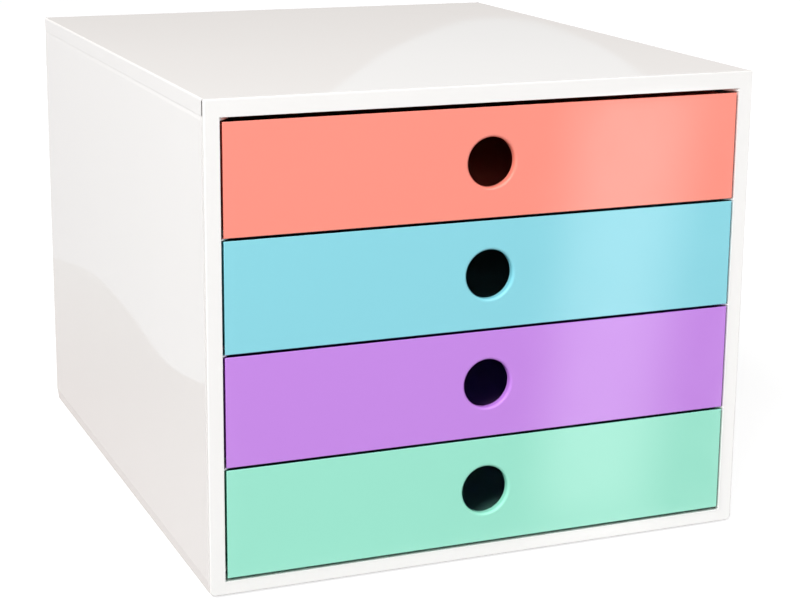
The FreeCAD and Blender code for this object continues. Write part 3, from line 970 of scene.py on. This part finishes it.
for piece in (frontFrame, topCover, baseTray, sidePanelLeft, sidePanelRight, rearPanel):
    dress(piece, casingPlastic)
for colour in colourNames:
    dress(drawers[colour], plastics[colour])
    for side in ("left", "right"):
        runner = nodes["runner_" + colour + "_" + side]
        for slot in runner.material_slots:
            slot.material = casingPlastic
for piece in feet.values():
    dress(piece, rubber)
print("materials made")


# camera

cameraView = {
    "place": (-0.39584, -1.01812, 0.38519),
    "focal": 1946.9,  # in pixels of the picture's width
    "width": 800,
    "sensor": 36,
    "right": (0.92610, -0.37717, 0.00906),
    "down": (-0.08106, -0.22236, -0.97159),
    "forward": (0.36847, 0.89905, -0.23650),
    "rise": -0.05,  # the lens is shifted by this share of the picture's width
}
cameraData = bpy.data.cameras.new("camera")
cameraData.sensor_width = cameraView["sensor"]
cameraData.lens = cameraView["sensor"] * cameraView["focal"] / cameraView["width"]
cameraData.shift_y = cameraView["rise"]
camera = bpy.data.objects.new("camera", cameraData)
bpy.context.scene.collection.objects.link(camera)
right, down, forward = (Vector(cameraView[key]).normalized() for key in ("right", "down", "forward"))
turn = Matrix((right, -down, -forward)).transposed()
camera.matrix_world = Matrix.Translation(cameraView["place"]) @ turn.to_4x4()
bpy.context.scene.camera = camera
print("camera set")


# studio: pale floor, four soft lamps, and a room whose pale and dark parts the plastic mirrors

studio = {
    "fill": 0.14,
    "floorSize": 12,
    "floorTone": 0.32,
    "floorSeen": 0.40,  # the camera sees some paper, which takes the shadow, and some plain white
    "floorGlow": 0.80,
    "lamps": {  # place, power and size
        "keyLamp": ((-2.25, -2.05, 2.4), 174.0, 2.0),
        "sideLamp": ((1.15, -1.25, 0.95), 8.4, 0.8),
        "rearLamp": ((2.6, 2.6, 0.9), 40.0, 1.2),
        "backLamp": ((0.0, 2.2, 0.13), 9.0, 0.24),  # low behind, so that it reaches only the rear
    },
    "lampAim": (0, 0, 0.12),
    "roomGloss": (1.02, 0.985, 0.985),
    "bandTurn": 30.1,  # degrees round the room of the bright band that the fronts mirror
    "bandLean": 5.1,
    "bandHalf": 2.75,
    "bandCore": 0.5,
    "bandLight": 2.25,
    "bandFoot": (-0.385, -0.34),
    "bandHead": (0.75, 0.6),
    "bandTop": (-0.1746, -0.1774),  # it ends where the gap above the drawers mirrors it
    "leastAhead": 0.05,  # keeps the divisions by the distance ahead finite
    "cardSides": (0.3050, 0.3040, 0.6285, 0.6295),  # pale card round what the drawers mirror
    "cardFoot": (-0.4428, -0.4438),
    "cardReach": (0.26, 0.28, 0.68, 0.66),
    "cardHeights": (-0.49, -0.47, -0.16, -0.175),
    "cardAhead": (0.3, 0.4),
    "cardRight": 0.35,
    "cardLow": 0.75,
    "cardCorner": 0.6,
    "duskTint": (1.0, 0.935, 0.90),  # the room low behind, mirrored in the top
    "duskFoot": (0.02, 0.06),
    "duskHeights": (0.105, 0.16),
    "duskLow": 0.757,
    "duskHigh": 0.80,
    "archTurn": 25.2,  # degrees from the rear of the pale arch that the top mirrors
    "archLow": 0.1145,
    "archBend": 4.9,
    "archSoft": (-0.0008, 0.0015),
    "archHead": (0.25, 0.2),
    "archLight": (0.10, 0.135, 0.155),
    "softLight": 2.2,  # the diffuser overhead in front, mirrored in the rounded edges
    "softHeights": (0.30, 0.45, 0.85, 0.93),
    "softTurns": (-75, -60, 35, 45),
    "edgeLight": 0.4,  # a pale wall to the left behind, mirrored in the edges beside the left panel
    "edgeHeights": (0.04, 0.08, 0.50, 0.60),
    "edgeTurns": (-45, -35, -4, 2),
    # painted reflection: for mirrored rays only, the floor glows darker in a patch under and beside
    # the case, with a wavy left edge
    "paintedReflectionNear": (0.78, 0.685, 0.655),  # painted reflection: the floor's glow for mirrored rays at its near end, darker than the room
    "paintedReflectionFar": (0.95, 0.90, 0.87),
    "paintedReflectionFoot": (0.12, 0.11, 0.11),  # painted reflection, paler towards the panels
    "footWidth": 0.1,
    "paintedReflectionAlong": (5.0, -1.8),  # turns the depth into -1 to 1 over the part that shows
    "paintedReflectionEnds": (-0.98, 1.0),
    "paintedReflectionWave": (0.02931, 0.0, -0.00456, 0.00721, -0.01178, -0.2423),  # its edge, in metres
    "paintedReflectionSoft": 0.0006,
    "paintedReflectionRight": 0.240,
    "paintedReflectionFront": (-0.175, -0.165),
}


def mathNode(tree, operation, *values):
    node = addNode(tree, "ShaderNodeMath", operation=operation)
    for socket, value in zip(node.inputs, values):
        if isinstance(value, (int, float)):
            socket.default_value = value
        else:
            tree.links.new(value, socket)
    return node.outputs[0]


def times(tree, result, *values):
    for value in values:
        result = mathNode(tree, "MULTIPLY", result, value)
    return result


def smoothRange(tree, value, start, end):
    node = addNode(tree, "ShaderNodeMapRange", interpolation_type="SMOOTHSTEP")
    node.inputs["From Min"].default_value = start
    node.inputs["From Max"].default_value = end
    tree.links.new(value, node.inputs["Value"])
    return node.outputs["Result"]


def scaled(tree, colour, level):
    node = addNode(tree, "ShaderNodeVectorMath", operation="SCALE")
    node.inputs[0].default_value = colour
    tree.links.new(level, node.inputs["Scale"])
    return node.outputs[0]


def total(tree, result, *colours):
    for colour in colours:
        node = addNode(tree, "ShaderNodeVectorMath", operation="ADD")
        tree.links.new(result, node.inputs[0])
        tree.links.new(colour, node.inputs[1])
        result = node.outputs[0]
    return result


def mixed(tree, share, *shaders):
    node = addNode(tree, "ShaderNodeMixShader")
    for source, socket in zip((share, *shaders), node.inputs):
        tree.links.new(source, socket)
    return node.outputs[0]


def shareOut(tree, kind, lit, mirrored, seen):  # what lights things, what they mirror, what is seen
    rays = addNode(tree, "ShaderNodeLightPath")
    glossy, through = rays.outputs["Is Glossy Ray"], rays.outputs["Is Transmission Ray"]
    shader = mixed(tree, mathNode(tree, "MAXIMUM", glossy, through), lit, mirrored)
    shader = mixed(tree, rays.outputs["Is Camera Ray"], shader, seen)
    out = addNode(tree, kind)
    tree.links.new(shader, out.inputs["Surface"])


def roomPatch(tree, z, turn, heights, turns):
    angles = [math.radians(angle) for angle in turns]
    return times(
        tree,
        smoothRange(tree, z, *heights[:2]),
        smoothRange(tree, z, *heights[:1:-1]),
        smoothRange(tree, turn, *angles[:2]),
        smoothRange(tree, turn, *angles[:1:-1]),
    )


def makeCard(tree, ahead, rise, aside):
    sides, reach, heights = studio["cardSides"], studio["cardReach"], studio["cardHeights"]
    card = smoothRange(tree, aside, *sides[:2])
    for value, ends in ((aside, sides[2:]), (rise, studio["cardFoot"])):
        card = mathNode(tree, "MAXIMUM", card, smoothRange(tree, value, *ends))
    limits = (
        (aside, reach[:2]),
        (aside, reach[2:]),
        (rise, heights[:2]),
        (rise, heights[2:]),
        (ahead, studio["cardAhead"]),
    )
    for value, ends in limits:
        card = times(tree, card, smoothRange(tree, value, *ends))
    right = smoothRange(tree, aside, sides[0], sides[3])
    low = smoothRange(tree, rise, heights[3], studio["cardFoot"][0])
    level = times(tree, right, studio["cardRight"])
    level = mathNode(tree, "MULTIPLY_ADD", low, studio["cardLow"], level)
    level = mathNode(tree, "MULTIPLY_ADD", times(tree, right, low), studio["cardCorner"], level)
    return times(tree, card, level)


def makeBand(tree, z, turn, rise):
    lean, middle = math.radians(studio["bandLean"]), math.radians(studio["bandTurn"])
    centre = mathNode(tree, "MULTIPLY_ADD", z, lean, middle)
    away = mathNode(tree, "ABSOLUTE", mathNode(tree, "SUBTRACT", turn, centre))
    return times(
        tree,
        smoothRange(tree, away, math.radians(studio["bandHalf"]), math.radians(studio["bandCore"])),
        smoothRange(tree, z, *studio["bandFoot"]),
        smoothRange(tree, z, *studio["bandHead"]),
        smoothRange(tree, rise, *studio["bandTop"]),
    )


def makeArch(tree, z, behind):
    off = mathNode(tree, "SUBTRACT", behind, math.radians(studio["archTurn"]))
    foot = mathNode(tree, "MULTIPLY_ADD", times(tree, off, off), studio["archBend"], studio["archLow"])
    arch = smoothRange(tree, mathNode(tree, "SUBTRACT", z, foot), *studio["archSoft"])
    return times(tree, arch, smoothRange(tree, z, *studio["archHead"]))


def makeRoom():
    world = bpy.data.worlds.new("room")
    bpy.context.scene.world = world
    world.use_nodes = True
    tree = world.node_tree
    tree.nodes.clear()
    link = tree.links.new
    way = addNode(tree, "ShaderNodeTexCoord")
    split = addNode(tree, "ShaderNodeSeparateXYZ")
    link(way.outputs["Generated"], split.inputs["Vector"])
    x, y, z = split.outputs
    front = times(tree, y, -1.0)
    turn = mathNode(tree, "ARCTAN2", x, front)  # from the front towards the right
    behind = mathNode(tree, "ARCTAN2", x, y)  # from the rear towards the right
    ahead = mathNode(tree, "MAXIMUM", front, studio["leastAhead"])
    rise, aside = mathNode(tree, "DIVIDE", z, ahead), mathNode(tree, "DIVIDE", x, ahead)

    dusk = addNode(tree, "ShaderNodeMapRange")
    ends = (*studio["duskHeights"], studio["duskLow"], studio["duskHigh"])
    for socket, value in zip(("From Min", "From Max", "To Min", "To Max"), ends):
        dusk.inputs[socket].default_value = value
    link(z, dusk.inputs["Value"])
    zone = smoothRange(tree, z, *studio["duskFoot"])
    band = makeBand(tree, z, turn, rise)
    soft = roomPatch(tree, z, turn, studio["softHeights"], studio["softTurns"])
    edge = roomPatch(tree, z, behind, studio["edgeHeights"], studio["edgeTurns"])
    white = (1, 1, 1)
    gloss = total(
        tree,
        scaled(tree, studio["roomGloss"], mathNode(tree, "SUBTRACT", 1.0, zone)),
        scaled(tree, studio["duskTint"], times(tree, zone, dusk.outputs["Result"])),
        scaled(tree, studio["archLight"], makeArch(tree, z, behind)),
        scaled(tree, white, times(tree, band, studio["bandLight"])),
        scaled(tree, white, makeCard(tree, ahead, rise, aside)),
        scaled(tree, white, times(tree, soft, studio["softLight"])),
        scaled(tree, white, times(tree, edge, studio["edgeLight"])),
    )

    backgrounds = []
    for strength in (studio["fill"], 1, 1):
        background = addNode(tree, "ShaderNodeBackground")
        background.inputs["Color"].default_value = (*white, 1)
        background.inputs["Strength"].default_value = strength
        backgrounds.append(background)
    link(gloss, backgrounds[1].inputs["Color"])
    shareOut(tree, "ShaderNodeOutputWorld", *(background.outputs[0] for background in backgrounds))


def makeFloor():
    bpy.ops.object.select_all(action="DESELECT")
    bpy.ops.mesh.primitive_plane_add(size=studio["floorSize"], location=(0, 0, 0))
    floor = bpy.context.active_object
    floor.name = "floor"
    material = bpy.data.materials.new("floorPaper")
    material.use_nodes = True
    tree = material.node_tree
    tree.nodes.clear()
    link = tree.links.new
    paper = addNode(tree, "ShaderNodeBsdfDiffuse")
    paper.inputs["Color"].default_value = (studio["floorTone"],) * 3 + (1,)
    seenPaper = addNode(tree, "ShaderNodeBsdfDiffuse")
    seenPaper.inputs["Color"].default_value = (studio["floorSeen"],) * 3 + (1,)
    glow = addNode(tree, "ShaderNodeEmission")
    glow.inputs["Strength"].default_value = studio["floorGlow"]
    seen = addNode(tree, "ShaderNodeAddShader")
    link(seenPaper.outputs[0], seen.inputs[0])
    link(glow.outputs[0], seen.inputs[1])

    place = addNode(tree, "ShaderNodeTexCoord")
    split = addNode(tree, "ShaderNodeSeparateXYZ")
    link(place.outputs["Object"], split.inputs["Vector"])
    x, y = split.outputs["X"], split.outputs["Y"]
    # painted reflection: mirrored rays see the floor glow darker in a patch under and beside the case,
    # with a wavy left edge; elsewhere they pass through to the room
    least, most = studio["paintedReflectionEnds"]
    along = mathNode(tree, "MULTIPLY_ADD", y, *studio["paintedReflectionAlong"])
    along = mathNode(tree, "MAXIMUM", mathNode(tree, "MINIMUM", along, most), least)
    wave = studio["paintedReflectionWave"][0]
    for part in studio["paintedReflectionWave"][1:]:
        wave = mathNode(tree, "MULTIPLY_ADD", wave, along, part)
    edge = mathNode(tree, "SUBTRACT", x, wave)
    share = mathNode(tree, "MULTIPLY_ADD", along, 0.5, 0.5)  # 0 at the near end, 1 at the far end
    paintedReflectionColour = total(
        tree,
        scaled(tree, studio["paintedReflectionNear"], mathNode(tree, "SUBTRACT", 1.0, share)),
        scaled(tree, studio["paintedReflectionFar"], share),
        scaled(tree, studio["paintedReflectionFoot"], smoothRange(tree, edge, 0.0, studio["footWidth"])),
    )
    paintedReflectionGlow = addNode(tree, "ShaderNodeEmission")
    link(paintedReflectionColour, paintedReflectionGlow.inputs["Color"])
    soft, right = studio["paintedReflectionSoft"], studio["paintedReflectionRight"]
    near = times(
        tree,
        smoothRange(tree, edge, -soft, soft),
        smoothRange(tree, x, right + mm, right - mm),
        smoothRange(tree, y, *studio["paintedReflectionFront"]),
    )
    clear = addNode(tree, "ShaderNodeBsdfTransparent")
    mirrored = mixed(tree, near, clear.outputs[0], paintedReflectionGlow.outputs[0])
    shareOut(tree, "ShaderNodeOutputMaterial", paper.outputs[0], mirrored, seen.outputs[0])
    floor.data.materials.append(material)
    floor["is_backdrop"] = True


def addLamp(name, place, power, size):
    lampData = bpy.data.lights.new(name, "AREA")
    lampData.shape = "DISK"
    lampData.size = size
    lampData.energy = power
    lamp = bpy.data.objects.new(name, lampData)
    bpy.context.scene.collection.objects.link(lamp)
    lamp.location = place
    lamp.visible_glossy = False  # the room's pale patches stand in for the lamps in reflections
    aim = Vector(studio["lampAim"]) - Vector(place)
    lamp.rotation_euler = aim.to_track_quat("-Z", "Y").to_euler()


makeRoom()
makeFloor()
for name, (place, power, size) in studio["lamps"].items():
    addLamp(name, place, power, size)
bpy.context.scene.view_settings.view_transform = "Standard"
print("studio made")

low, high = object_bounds()
